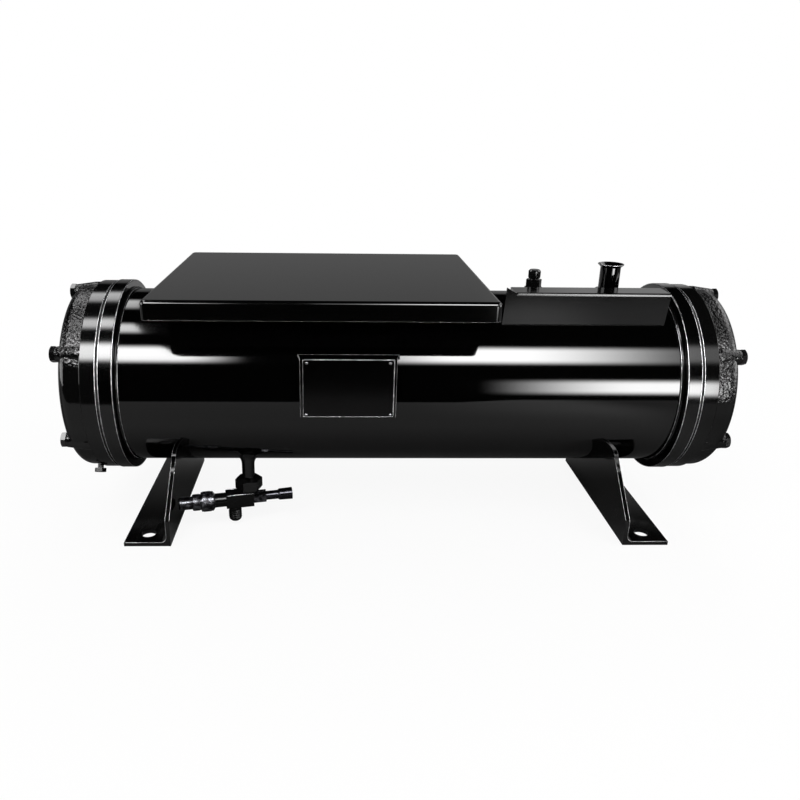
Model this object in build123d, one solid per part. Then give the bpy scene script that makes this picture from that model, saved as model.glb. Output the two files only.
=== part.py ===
from build123d import *
import math
import os

# Horizontal shell and tube heat exchanger on two feet, with a flat platform
# over the shell. The origin is on the floor, under the middle of the shell.
# X runs along the shell, Z is up, and the side with the nameplate faces -Y.
# All sizes are in millimetres.

# Shell, of 8 inch pipe
shell_radius = 109.5
shell_wall = 6.0
shell_length = 665.0
axis_height = 182.0

# Tube sheets, gaskets and the turned band of each header
flange_radius = 120.5
flange_thickness = 17.0
edge_break = 1.2
gasket_thickness = 2.0
gasket_inset = 2.5
band_length = 19.0
band_inset = 1.0

# Cast headers
header_depth = 46.5
header_radius = 116.5
header_edge_round = 13.0
header_wall = 9.0
header_rim_width = 30.0
rib_thickness = 9.0
seal_land = 0.5

# Header bolts, M10, each through a cast boss into the tube sheet
bolt_count = 6
bolt_circle = 107.0
bolt_hole_radius = 5.5
bolt_tapping_radius = 4.25
bolt_tapping_depth = 14.0
boss_stand = 1.5
boss_taper = 3.5
boss_taper_length = 24.0

# Water ports in the end of the left header
port_offset = 46.0
port_bore = 21.0
port_wall = 10.0
port_stand = 4.0

# Drain plug under the left header, between two bosses
plug_angle = 30.0
plug_gap = 1.0
plug_neck_radius = 3.6
plug_neck_length = 6.0
plug_across_flats = 12.5
plug_head_length = 5.0

# Feet
foot_thickness = 5.0
foot_half_width = 124.5
foot_spacing = 560.0
foot_shift = 0.7
foot_flange_length = 57.0
foot_leg_height = 34.0
foot_top_half_width = 62.0
foot_fillet = 7.5
foot_hole_radius = 9.0
foot_hole_inset = 25.5
foot_hole_y = 102.0

# Platform
platform_width = 384.0
platform_depth = 314.0
platform_stand = 22.4
platform_skirt = 21.4
platform_sheet = 3.0
platform_corner = 6.5
platform_bend = 4.5
platform_x = -92.0

# Saddles that carry the platform on the shell
saddle_half_width = 55.0
saddle_thickness = 6.0
saddle_spacing = 220.0

# Shelf bracket at the right of the platform
bracket_left = 119.0
bracket_right = 314.0
bracket_face_y = -71.5
bracket_sheet = 3.0
bracket_stand = 14.6
bracket_flange = 35.0
bracket_bend = 2.0
bracket_lean = 3.0
bracket_tilt = 4.5
bracket_ear_width = 12.0
bracket_ear_height = 6.0

# Nameplate and the folded bracket that holds it off the shell
plate_width = 105.0
plate_height = 69.5
plate_thickness = 1.0
plate_x = -63.0
plate_rise = 21.7
plate_stand = 9.5
plate_bracket_sheet = 2.0
plate_bracket_margin = 3.0
plate_hood_overhang = 3.0
plate_hood_round = 6.0

# Gas inlet stub on top of the shell
inlet_x = 266.5
inlet_radius = 12.3
inlet_wall = 1.8
inlet_flare_radius = 15.6
inlet_flare_height = 4.0
inlet_height = 37.5
inlet_collar_wall = 6.0
inlet_collar_height = 6.0
inlet_collar_chamfer = 2.5

# Service fitting on top of the shell
service_x = 171.2
service_boss_radius = 11.0
service_boss_height = 7.5
service_flats = 17.0
service_hex_height = 10.0
service_neck_radius = 5.5
service_neck_height = 1.5
service_cap_radius = 7.6
service_cap_height = 10.5
service_chamfer = 1.8

# Liquid outlet neck and angle valve under the shell
valve_x = -188.6
neck_y = -62.0
valve_turn = 12.5
valve_drop = 57.0
neck_radius = 8.0
neck_wall = 1.5
spud_radius = 9.4
union_flats = 30.0
union_height = 12.5
union_gap = 5.5
union_chamfer = 3.5
body_half = 9.5
body_back = 30.0
body_front = 5.0
body_chamfer = 1.2
throat_radius = 9.0
throat_length = 14.0
gland_taper = 2.5
gland_radius = 12.5
gland_length = 15.0
gland_nut_radius = 10.2
gland_nut_length = 11.0
spindle_cap_radius = 8.2
spindle_cap_length = 17.0
gauge_port_offset = -19.0
gauge_port_radius = 7.3
gauge_port_length = 20.0
gauge_port_collar = 3.0
gauge_port_step = 1.0
gauge_port_bore = 3.0
gauge_port_bore_depth = 12.0
outlet_flats = 16.0
outlet_nut_length = 16.0
outlet_tube_radius = 5.8
outlet_tube_length = 15.7
sleeve_radius = 7.8
sleeve_length = 18.5
sleeve_wall = 1.3
sleeve_depth = 14.0
small_chamfer = 0.8

# Places that follow from the sizes
half_shell = shell_length / 2
sheet_face = half_shell + flange_thickness
header_face = sheet_face + gasket_thickness
header_end = header_face + header_depth
band_radius = flange_radius - band_inset
shell_top = axis_height + shell_radius
boss_radius = band_radius - bolt_circle
chamber_radius = header_radius - header_rim_width
platform_top = shell_top + platform_stand
bracket_top = shell_top + bracket_stand
plate_z = axis_height + plate_rise
plate_face_y = -(shell_radius + plate_stand)
overrun = 10.0


def shell_drop(y):
    """How far the shell's surface lies from its axis, up or down, at y."""
    return math.sqrt(shell_radius**2 - y**2)


def along_x(radius, x0, x1, y=0.0, z=axis_height):
    """A solid cylinder along X between x0 and x1."""
    centre = Pos((x0 + x1) / 2, y, z) * Rot(0, 90, 0)
    return centre * Cylinder(radius, abs(x1 - x0))


def upright(radius, x, y, z0, z1):
    """A solid cylinder along Z between z0 and z1."""
    return Pos(x, y, (z0 + z1) / 2) * Cylinder(radius, z1 - z0)


def turned(points, axis):
    """A solid turned from a closed outline of (station, radius) points."""
    if axis == Axis.X:
        outline = [(station, 0, radius) for station, radius in points]
    else:
        outline = [(radius, 0, station) for station, radius in points]
    return revolve(make_face(Polyline(*outline, close=True)), axis)


def hexagon(across_flats, height, chamfer):
    """An upright hexagonal nut with its corners turned off at both ends."""
    prism = extrude(RegularPolygon(across_flats / 2, 6, major_radius=False), height)
    corner = across_flats / math.sqrt(3)
    flat = across_flats / 2
    blank = [(0, 0), (0, flat), (chamfer * (corner - flat) / flat, corner + small_chamfer)]
    blank += [(height - station, radius) for station, radius in reversed(blank)]
    return prism & turned(blank, Axis.Z)


def outside_shell(shape):
    """The shape with the shell's round body taken out of it."""
    reach = header_end + overrun
    return shape - along_x(shell_radius, -reach, reach)


def bolt_places():
    """Places of the header bolts round the shell's axis, the first at the top."""
    for i in range(bolt_count):
        yield Rot(360 * i / bolt_count, 0, 0) * Pos(0, 0, bolt_circle)


def bolt_holes(radius, x0, x1):
    """The ring of bolt holes between two stations along X."""
    middle = Pos((x0 + x1) / 2, 0, 0) * Rot(0, 90, 0)
    hole = Cylinder(radius, abs(x1 - x0))
    return [Pos(0, 0, axis_height) * place * middle * hole for place in bolt_places()]


def make_shell():
    """The pipe shell, with the holes for the gas inlet and the outlet neck."""
    body = along_x(shell_radius, -half_shell, half_shell)
    body -= along_x(shell_radius - shell_wall, -half_shell, half_shell)
    body -= upright(inlet_radius, inlet_x, 0, axis_height, shell_top + overrun)
    bottom = axis_height - shell_radius - overrun
    return body - upright(neck_radius, valve_x, neck_y, bottom, axis_height)


def make_tube_sheet(side):
    """The disc that closes one end of the shell, tapped for the header bolts."""
    r = flange_radius
    e = edge_break
    outline = [(half_shell, 0), (half_shell, r - e), (half_shell + e, r)]
    outline += [(sheet_face - e, r), (sheet_face, r - e), (sheet_face, 0)]
    body = Pos(0, 0, axis_height) * turned(outline, Axis.X)
    for hole in bolt_holes(bolt_tapping_radius, sheet_face - bolt_tapping_depth, sheet_face + e):
        body -= hole
    return body if side > 0 else body.mirror(Plane.YZ)


def make_gasket(side):
    """The flat ring that shows as a groove between tube sheet and header."""
    ring = along_x(flange_radius - gasket_inset, side * sheet_face, side * header_face)
    ring -= along_x(chamber_radius, side * sheet_face, side * header_face)
    for hole in bolt_holes(bolt_hole_radius, side * sheet_face, side * header_face):
        ring -= hole
    return ring


def header_blank():
    """The round casting: a turned band, a plain wall and a rounded end."""
    r = header_radius
    e = edge_break
    n = header_edge_round
    shoulder = header_face + band_length
    profile = Polyline(
        (header_face, 0, 0),
        (header_face, 0, band_radius - e),
        (header_face + e, 0, band_radius),
        (shoulder - e, 0, band_radius),
        (shoulder, 0, band_radius - e),
        (shoulder, 0, r),
        (header_end - n, 0, r),
    )
    corner = (header_end - n * (1 - math.sin(math.pi / 4)), 0, r - n * (1 - math.cos(math.pi / 4)))
    profile += ThreePointArc((header_end - n, 0, r), corner, (header_end, 0, r - n))
    profile += Polyline((header_end, 0, r - n), (header_end, 0, 0), (header_face, 0, 0))
    return revolve(make_face(profile), Axis.X)


def bolt_boss():
    """A cast boss along the header's wall, tapered towards the bolt head."""
    start = header_face + band_length - edge_break
    end = header_end + boss_stand
    outline = [(start, 0), (start, boss_radius), (end - boss_taper_length, boss_radius)]
    outline += [(end, boss_radius - boss_taper), (end, 0)]
    return turned(outline, Axis.X)


def make_header(side, has_ports):
    """The cast header with its bolt bosses, and the water ports where it has them."""
    body = header_blank()
    for place in bolt_places():
        body += place * bolt_boss()
    chamber_end = header_end - header_wall
    chamber = along_x(chamber_radius, header_face, chamber_end, 0, 0)
    if has_ports:
        rib_length = chamber_end - header_face - seal_land
        rib_x = chamber_end - rib_length / 2
        chamber -= Pos(rib_x, 0, 0) * Box(rib_length, 2 * header_radius, rib_thickness)
    body -= chamber
    if has_ports:
        for z in (port_offset, -port_offset):
            body += along_x(port_bore + port_wall, header_end - header_wall, header_end + port_stand, 0, z)
            body -= along_x(port_bore, header_end - header_wall, header_end + port_stand, 0, z)
    body = Pos(0, 0, axis_height) * body
    for hole in bolt_holes(bolt_hole_radius, header_face, header_end + boss_stand):
        body -= hole
    return body if side > 0 else body.mirror(Plane.YZ)


def make_drain_plug():
    """The hexagon-headed plug in the header's wall, square to its surface."""
    shoulder = header_face + band_length
    x = -(shoulder + plug_gap + plug_neck_radius)
    place = Pos(x, 0, axis_height) * Rot(180 - plug_angle, 0, 0) * Pos(0, 0, header_radius)
    neck = upright(plug_neck_radius, 0, 0, -header_wall / 2, plug_neck_length)
    head = Pos(0, 0, plug_neck_length) * hexagon(plug_across_flats, plug_head_length, small_chamfer)
    wall = Pos(0, 0, axis_height) * along_x(header_radius, x - overrun, x + overrun, 0, 0)
    return place * (neck + head) - wall


def make_foot(side):
    """One foot: a folded plate whose web is cut to sit against the shell."""
    half = foot_half_width
    top = foot_top_half_width
    leg = foot_leg_height
    web_face = foot_spacing / 2
    web_outer = web_face + foot_thickness
    contact = axis_height - shell_drop(top)
    outline = Polyline(
        (-half, 0), (-half, leg), (-top, contact), (top, contact), (half, leg), (half, 0), close=True,
    )
    web = extrude(Plane.YZ.offset(web_face) * make_face(outline), foot_thickness)
    flange_x = web_face + foot_flange_length / 2
    flange = Pos(flange_x, 0, foot_thickness / 2) * Box(foot_flange_length, 2 * half, foot_thickness)
    foot = outside_shell(web) + flange
    root = foot.edges().filter_by(Axis.Y).sort_by_distance((web_outer, 0, foot_thickness))[0]
    foot = fillet(root, foot_fillet)
    hole_x = web_face + foot_flange_length - foot_hole_inset
    for y in (-foot_hole_y, foot_hole_y):
        foot -= upright(foot_hole_radius, hole_x, y, 0, foot_thickness)
    foot = foot if side > 0 else foot.mirror(Plane.YZ)
    return Pos(foot_shift, 0, 0) * foot


def make_platform():
    """The folded tray over the shell: a flat top with a skirt all round."""
    skirt_z = platform_top - platform_skirt / 2
    outer = Pos(platform_x, 0, skirt_z) * Box(platform_width, platform_depth, platform_skirt)
    outer = fillet(outer.edges().filter_by(Axis.Z), platform_corner)
    outer = fillet(outer.faces().sort_by(Axis.Z)[-1].edges(), platform_bend)
    inner_width = platform_width - 2 * platform_sheet
    inner_depth = platform_depth - 2 * platform_sheet
    inner = Pos(platform_x, 0, skirt_z - platform_sheet) * Box(inner_width, inner_depth, platform_skirt)
    inner = fillet(inner.edges().filter_by(Axis.Z), platform_corner - platform_sheet)
    return outer - inner


def make_saddle(side):
    """A flat bar on edge between the shell and the underside of the platform."""
    x = platform_x + side * saddle_spacing / 2
    z0 = axis_height + shell_drop(saddle_half_width)
    z1 = platform_top - platform_sheet
    bar = Pos(x, 0, (z0 + z1) / 2) * Box(saddle_thickness, 2 * saddle_half_width, z1 - z0)
    return outside_shell(bar)


def make_shelf_bracket():
    """The folded angle that stands on the shell beside the platform."""
    reach = bracket_stand + shell_radius - shell_drop(bracket_face_y) + overrun
    fold_x = bracket_left + bracket_lean + bracket_ear_width
    outline = Polyline(
        (bracket_left, -reach),
        (bracket_left + bracket_lean, bracket_ear_height),
        (fold_x, 0),
        (bracket_right + bracket_lean, 0),
        (bracket_right, -reach),
        close=True,
    )
    tilt = math.radians(bracket_tilt)
    outward = (0, -math.cos(tilt), -math.sin(tilt))
    front = Plane(origin=(0, bracket_face_y, bracket_top), x_dir=(1, 0, 0), z_dir=outward)
    face = outside_shell(extrude(front * make_face(outline), -bracket_sheet))
    length = bracket_right + bracket_lean - fold_x
    flange_x = fold_x + length / 2
    flange_z = bracket_top - bracket_sheet / 2
    flange = Pos(flange_x, bracket_face_y + bracket_flange / 2, flange_z)
    body = face + flange * Box(length, bracket_flange, bracket_sheet)
    fold = body.edges().filter_by(Axis.X).sort_by_distance((flange_x, bracket_face_y, bracket_top))[0]
    return fillet(fold, bracket_bend)


def make_nameplate_bracket():
    """The folded holder: a front panel, two sides and a hood that reach the shell."""
    width = plate_width + 2 * plate_bracket_margin
    height = plate_height + plate_bracket_margin
    sheet = plate_bracket_sheet
    front = plate_face_y + plate_thickness
    depth = shell_radius + front
    reach = depth + shell_radius
    block = Pos(plate_x, front + reach / 2, plate_z) * Box(width, reach, height)
    hollow = Box(width - 2 * sheet, reach, height)
    block -= Pos(plate_x, front + sheet + reach / 2, plate_z - sheet) * hollow
    top = plate_z + height / 2
    hood_back = -shell_drop(top - axis_height)
    hood_depth = hood_back - front
    hood_width = width + 2 * plate_hood_overhang
    hood = Pos(plate_x, front + hood_depth / 2, top - sheet / 2) * Box(hood_width, hood_depth, sheet)
    hood = fillet(hood.edges().filter_by(Axis.Z).sort_by(Axis.Y)[-2:], plate_hood_round)
    hood = chamfer(hood.edges().filter_by(Axis.Z).sort_by(Axis.Y)[:2], hood_depth / 2, plate_hood_overhang)
    half = Pos(plate_x, front + reach / 2, axis_height + shell_radius / 2)
    holder = block & half * Box(2 * width, reach, 3 * shell_radius)
    near_side = Pos(plate_x, -shell_radius, plate_z) * Box(2 * width, 2 * shell_radius, 2 * height)
    return outside_shell((holder + hood) & near_side)


def make_nameplate():
    """The plain plate on its bracket."""
    y = plate_face_y + plate_thickness / 2
    return Pos(plate_x, y, plate_z) * Box(plate_width, plate_thickness, plate_height)


def make_inlet_collar():
    """The welded collar round the gas inlet stub."""
    r = inlet_radius + inlet_collar_wall
    top = shell_top + inlet_collar_height
    c = inlet_collar_chamfer
    root = axis_height + shell_drop(r)
    outline = [(root, inlet_radius), (root, r), (top - c, r), (top, r - c), (top, inlet_radius)]
    return outside_shell(Pos(inlet_x, 0, 0) * turned(outline, Axis.Z))


def make_inlet_stub():
    """The gas inlet tube, set through the shell, with its flared mouth."""
    r = inlet_radius
    f = inlet_flare_radius
    w = inlet_wall
    bottom = shell_top - 2 * shell_wall
    top = shell_top + inlet_height
    flare = top - inlet_flare_height
    outline = [(bottom, r - w), (bottom, r), (flare, r), (top - w / 2, f), (top, f)]
    outline += [(top, f - w / 2), (flare, r - w)]
    return Pos(inlet_x, 0, 0) * turned(outline, Axis.Z)


def make_service_parts():
    """The service fitting: a welded boss, a hexagon body and a round cap."""
    r = service_boss_radius
    z = shell_top + service_boss_height
    root = axis_height + shell_drop(r)
    boss = outside_shell(upright(r, service_x, 0, root, z))
    body = Pos(service_x, 0, z) * hexagon(service_flats, service_hex_height, service_chamfer)
    z += service_hex_height
    body += upright(service_neck_radius, service_x, 0, z, z + service_neck_height)
    z += service_neck_height
    r = service_cap_radius
    c = service_chamfer
    h = service_cap_height
    cap = turned([(0, 0), (0, r - c / 2), (c / 2, r), (h - c, r), (h, r - c), (h, 0)], Axis.Z)
    return boss, body, Pos(service_x, 0, z) * cap


def valve_frame():
    """Places shapes drawn along the valve's own X axis in the model."""
    drop = shell_drop(neck_y) + valve_drop
    return Pos(valve_x, neck_y, axis_height - drop) * Rot(0, 0, valve_turn)


def make_outlet_neck():
    """The pipe from the shell down to the valve's union nut."""
    end = body_half + union_gap + union_height
    top = valve_drop + shell_wall
    neck = Cylinder(neck_radius, top - end) - Cylinder(neck_radius - neck_wall, top - end)
    return valve_frame() * Pos(0, 0, (top + end) / 2) * neck


def make_valve_body():
    """The forged body: a block, the throat to the gland and the spud of the union."""
    length = body_back + body_front
    middle = (body_front - body_back) / 2
    block = Pos(middle, 0, 0) * Box(length, 2 * body_half, 2 * body_half)
    block = chamfer(block.edges().filter_by(Axis.X), body_chamfer)
    block += along_x(throat_radius, -body_back - throat_length, -body_back, 0, 0)
    return valve_frame() * (block + upright(spud_radius, 0, 0, body_half, body_half + union_gap))


def make_gland():
    """The gland and its nut, turned as one, behind the valve's throat."""
    back = -(body_back + throat_length)
    step = back - gland_taper - gland_length
    end = step - gland_nut_length
    c = small_chamfer
    outline = [
        (back, 0), (back, throat_radius), (back - gland_taper, gland_radius),
        (step + c, gland_radius), (step, gland_radius - c), (step, gland_nut_radius),
        (end + c, gland_nut_radius), (end, gland_nut_radius - c), (end, 0),
    ]
    return valve_frame() * turned(outline, Axis.X), end


def make_spindle_cap(start):
    """The long round cap over the valve's spindle."""
    r = spindle_cap_radius
    end = start - spindle_cap_length
    c = 2 * small_chamfer
    return valve_frame() * turned([(start, 0), (start, r), (end + c, r), (end, r - c), (end, 0)], Axis.X)


def make_gauge_port():
    """The gauge port under the body: a collar and a bored stem."""
    top = -body_half
    end = top - gauge_port_length
    r = gauge_port_radius
    wide = r + gauge_port_step
    c = 2 * small_chamfer
    bore_end = end + gauge_port_bore_depth
    outline = [
        (top, 0), (top, wide), (top - gauge_port_collar, wide), (top - gauge_port_collar, r),
        (end + c, r), (end, r - c), (end, gauge_port_bore), (bore_end, gauge_port_bore), (bore_end, 0),
    ]
    return valve_frame() * Pos(gauge_port_offset, 0, 0) * turned(outline, Axis.Z)


def make_outlet_parts():
    """The outlet nut, the tube in it and the solder sleeve at its end."""
    start = body_front
    nut = hexagon(outlet_flats, outlet_nut_length, small_chamfer)
    nut = valve_frame() * Pos(start, 0, 0) * Rot(0, 90, 0) * nut
    start += outlet_nut_length
    tube = valve_frame() * along_x(outlet_tube_radius, start, start + outlet_tube_length, 0, 0)
    start += outlet_tube_length
    end = start + sleeve_length
    r = sleeve_radius
    inner = r - sleeve_wall
    step = r - outlet_tube_radius
    outline = [
        (start, 0), (start, outlet_tube_radius), (start + step, r - small_chamfer / 2), (end, r),
        (end, inner), (end - sleeve_depth, inner), (end - sleeve_depth, 0),
    ]
    return nut, tube, valve_frame() * turned(outline, Axis.X)


def make_parts():
    """All the pieces by name."""
    parts = {"shell": make_shell()}
    for name, side in (("left", -1), ("right", 1)):
        parts[name + "_tube_sheet"] = make_tube_sheet(side)
        parts[name + "_gasket"] = make_gasket(side)
        parts[name + "_header"] = make_header(side, side < 0)
        parts[name + "_foot"] = make_foot(side)
        parts[name + "_saddle"] = make_saddle(side)
    parts["drain_plug"] = make_drain_plug()
    parts["platform"] = make_platform()
    parts["shelf_bracket"] = make_shelf_bracket()
    parts["nameplate_bracket"] = make_nameplate_bracket()
    parts["nameplate"] = make_nameplate()
    parts["inlet_collar"] = make_inlet_collar()
    parts["inlet_stub"] = make_inlet_stub()
    parts["service_boss"], parts["service_fitting"], parts["service_cap"] = make_service_parts()
    parts["outlet_neck"] = make_outlet_neck()
    hexagon_union = hexagon(union_flats, union_height, union_chamfer)
    parts["valve_union_nut"] = valve_frame() * Pos(0, 0, body_half + union_gap) * hexagon_union
    parts["valve_body"] = make_valve_body()
    parts["valve_gland"], gland_end = make_gland()
    parts["valve_spindle_cap"] = make_spindle_cap(gland_end)
    parts["valve_gauge_port"] = make_gauge_port()
    parts["outlet_nut"], parts["outlet_tube"], parts["outlet_sleeve"] = make_outlet_parts()
    return parts


os.makedirs("parts", exist_ok=True)
for node, shape in make_parts().items():
    export_step(shape, "parts/" + node + ".step")
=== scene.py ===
import math

import bpy
import numpy as np
from mathutils import Matrix, Vector


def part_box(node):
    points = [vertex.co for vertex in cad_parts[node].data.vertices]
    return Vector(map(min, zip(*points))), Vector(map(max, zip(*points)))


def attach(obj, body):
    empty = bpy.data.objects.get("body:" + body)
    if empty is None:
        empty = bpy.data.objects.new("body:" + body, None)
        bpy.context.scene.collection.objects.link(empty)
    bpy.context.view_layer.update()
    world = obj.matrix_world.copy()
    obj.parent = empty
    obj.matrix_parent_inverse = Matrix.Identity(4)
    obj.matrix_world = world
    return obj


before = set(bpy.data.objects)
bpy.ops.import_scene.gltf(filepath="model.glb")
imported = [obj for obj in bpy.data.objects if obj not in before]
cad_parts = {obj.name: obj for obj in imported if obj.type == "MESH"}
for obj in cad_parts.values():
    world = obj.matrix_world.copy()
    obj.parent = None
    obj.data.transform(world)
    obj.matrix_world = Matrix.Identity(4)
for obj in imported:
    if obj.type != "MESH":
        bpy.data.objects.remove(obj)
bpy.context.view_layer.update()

# Lengths are in metres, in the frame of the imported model: the origin is on the
# floor under the middle of the shell, X runs along the shell and Z is up.
MM = 0.001
FULL_TURN = 2 * np.pi
QUARTER_TURN = math.pi / 2
SIDES = (("left", -1), ("right", 1))

# The shell, then stations along X from its middle: the tube sheet, the header's
# joint face, the end of its turned band, its end face and the seat of its bolts
AXIS_Z = 0.182
SHELL_R = 0.1095
SHEET_INNER = 0.3325
SHEET_OUTER = 0.3495
HEADER_FACE = 0.3515
BAND_END = 0.3705
HEADER_END = 0.398
BOSS_END = 0.3995
SEAT_TO_SHEET = BOSS_END - SHEET_OUTER

BOLT_CIRCLE = 0.107
PORT_Z = 0.046
PORT_R = 0.021
INLET_X = 0.2665
SERVICE_X = 0.1712
FOOT_SHEET = 0.005

# The angle valve's own frame: X runs along its outlet, turned about the vertical
VALVE_ORIGIN = (-0.1886, -0.062, 0.034743)
VALVE_TURN = math.radians(12.5)
VALVE = Matrix.Translation(VALVE_ORIGIN) @ Matrix.Rotation(VALVE_TURN, 4, "Z")

# Settings that many nodes share
TIMES = {"operation": "MULTIPLY"}
TIMES_PLUS = {"operation": "MULTIPLY_ADD"}
LARGER = {"operation": "MAXIMUM"}
SMOOTH = {"interpolation_type": "SMOOTHSTEP"}


# ---------------------------------------------------------------------------
# Colour and node helpers
# ---------------------------------------------------------------------------

def colour(hexcode):
    """An sRGB hex value as the linear RGBA that the shaders work in."""
    s = np.array([int(hexcode[i:i + 2], 16) for i in (1, 3, 5)]) / 255
    lin = np.where(s <= 0.04045, s / 12.92, ((s + 0.055) / 1.055) ** 2.4)
    return (*lin.tolist(), 1.0)


def node(tree, kind, settings=None, **inputs):
    """Add a node with its settings. Each input is named, or is i and its number,
    and gets a value, the link of a socket, or that of a node's first output."""
    made = tree.nodes.new(kind)
    for key, value in (settings or {}).items():
        setattr(made, key, value)
    for key, value in inputs.items():
        numbered = key[0] == "i" and key[1:].isdigit()
        socket = made.inputs[int(key[1:]) if numbered else key.replace("_", " ")]
        if isinstance(value, bpy.types.Node):
            value = value.outputs[0]
        if isinstance(value, bpy.types.NodeSocket):
            tree.links.new(value, socket)
        else:
            socket.default_value = value
    return made


def new_material(name):
    """A material without nodes yet, and its node tree."""
    mat = bpy.data.materials.new(name)
    mat.use_nodes = True
    mat.node_tree.nodes.clear()
    return mat, mat.node_tree


# ---------------------------------------------------------------------------
# Materials
# ---------------------------------------------------------------------------

def enamel(name, tint, gloss, peel, peel_depth, specular=0.35, grain=0.0, grain_depth=0.0):
    """Black stoving enamel sprayed on steel. Thick wet paint leaves a fine orange
    peel, which the eye reads as a slight waver in the edges of reflections, and
    dust in it gives a little spread in gloss, in clouds of about 55 mm. The peel
    of about 1 mm is drawn a few times coarser, because finer waves are lost
    between the pixels. A forging has a grain under the paint as well. The widths
    and depths of peel and grain are in millimetres."""
    mat, tree = new_material(name)
    place = node(tree, "ShaderNodeTexCoord").outputs["Object"]
    waves = node(tree, "ShaderNodeTexNoise", Vector=place, Scale=1 / (peel * MM), Detail=1.0)
    bump = node(tree, "ShaderNodeBump", Strength=1.0, Distance=peel_depth * MM, Height=waves)
    if grain:
        lumps = node(tree, "ShaderNodeTexNoise", Vector=place, Scale=1 / (grain * MM),
                     Detail=4.0, Roughness=0.6)
        bump = node(tree, "ShaderNodeBump", Strength=1.0, Distance=grain_depth * MM,
                    Height=lumps, Normal=bump)
    clouds = node(tree, "ShaderNodeTexNoise", Vector=place, Scale=18.0, Detail=2.0)
    dull = node(tree, "ShaderNodeMapRange", Value=clouds,
                To_Min=gloss * 0.8, To_Max=gloss * 1.25)
    shader = node(tree, "ShaderNodeBsdfPrincipled", Base_Color=colour(tint), Roughness=dull,
                  Normal=bump, Specular_IOR_Level=specular)
    node(tree, "ShaderNodeOutputMaterial", Surface=shader)
    return mat


def cast_enamel(name):
    """Black enamel over sand cast iron. Sand leaves pits of about 2.4 mm and lumps
    of 3 mm that the paint rounds off, so the casting glitters, while the turned
    band next to the joint is smooth. The skin starts at the band's end. It is
    full on the upper part, faint below, where paint has run and filled it, and
    nearly full on the end face. The line between them leans a little along X."""
    mat, tree = new_material(name)
    place = node(tree, "ShaderNodeTexCoord").outputs["Object"]
    xyz = node(tree, "ShaderNodeSeparateXYZ", Vector=place)
    along = node(tree, "ShaderNodeMath", {"operation": "ABSOLUTE"}, i0=xyz.outputs["X"])
    past_band = node(tree, "ShaderNodeMapRange", Value=along,
                     From_Min=BAND_END - 0.6 * MM, From_Max=BAND_END + 0.6 * MM)
    on_end = node(tree, "ShaderNodeMapRange", Value=along, From_Min=HEADER_END - 4 * MM,
                  From_Max=HEADER_END - 0.5 * MM, To_Min=0.0, To_Max=0.7)
    height = node(tree, "ShaderNodeMath", TIMES_PLUS,
                  i0=xyz.outputs["X"], i1=0.055, i2=xyz.outputs["Z"])
    upper = node(tree, "ShaderNodeMapRange", Value=height, From_Min=AXIS_Z + 18 * MM,
                 From_Max=AXIS_Z + 31 * MM, To_Min=0.06)
    share = node(tree, "ShaderNodeMath", LARGER, i0=upper, i1=on_end)
    skin = node(tree, "ShaderNodeMath", TIMES, i0=past_band, i1=share)
    pits = node(tree, "ShaderNodeTexNoise", Vector=place, Scale=420.0, Detail=3.0,
                Roughness=0.6)
    lumps = node(tree, "ShaderNodeTexVoronoi", {"feature": "SMOOTH_F1"}, Vector=place,
                 Scale=330.0, Smoothness=0.6)
    sand = node(tree, "ShaderNodeMath", {"operation": "ADD"},
                i0=pits, i1=lumps.outputs["Distance"])
    relief = node(tree, "ShaderNodeMath", TIMES, i0=sand, i1=skin)
    bump = node(tree, "ShaderNodeBump", Strength=1.0, Distance=0.45 * MM, Height=relief)
    dull = node(tree, "ShaderNodeMapRange", Value=skin, To_Min=0.09, To_Max=0.11)
    shader = node(tree, "ShaderNodeBsdfPrincipled", Base_Color=colour("#070707"),
                  Roughness=dull, Normal=bump, Specular_IOR_Level=0.27)
    node(tree, "ShaderNodeOutputMaterial", Surface=shader)
    return mat


def turned_steel(name, light, dark, rough, lay):
    """Turned metal under a thin, worn film of overspray, so it is nearly all bare.
    The tool leaves fine rings round each piece and handling leaves dull patches
    of about 5 mm, so highlights break up. The rings, square to the valve's own X
    axis, are about 0.1 mm apart on the real one. Here their lay, in millimetres,
    is 1 to 2, or they would not show at all."""
    mat, tree = new_material(name)
    place = node(tree, "ShaderNodeTexCoord").outputs["Object"]
    turned = node(tree, "ShaderNodeMapping", Vector=place, Rotation=(0, 0, -VALVE_TURN))
    rings = node(tree, "ShaderNodeTexWave", {"bands_direction": "X"}, Vector=turned,
                 Scale=1 / (lay * MM * 6.28), Distortion=1.5, Detail=2.0)
    patches = node(tree, "ShaderNodeTexNoise", Vector=place, Scale=190.0, Detail=3.0)
    shade = node(tree, "ShaderNodeValToRGB", Fac=patches)
    first, last = shade.color_ramp.elements
    first.position, first.color = 0.40, colour(dark)
    last.position, last.color = 0.62, colour(light)
    lines = node(tree, "ShaderNodeBump", Strength=1.0, Distance=0.02 * MM,
                 Height=rings.outputs["Fac"])
    bump = node(tree, "ShaderNodeBump", Strength=1.0, Distance=0.04 * MM,
                Height=patches, Normal=lines)
    dull = node(tree, "ShaderNodeMapRange", Value=patches,
                To_Min=rough * 0.7, To_Max=rough * 1.4)
    shader = node(tree, "ShaderNodeBsdfPrincipled", Base_Color=shade, Metallic=0.9,
                  Roughness=dull, Normal=bump)
    node(tree, "ShaderNodeOutputMaterial", Surface=shader)
    return mat


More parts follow.
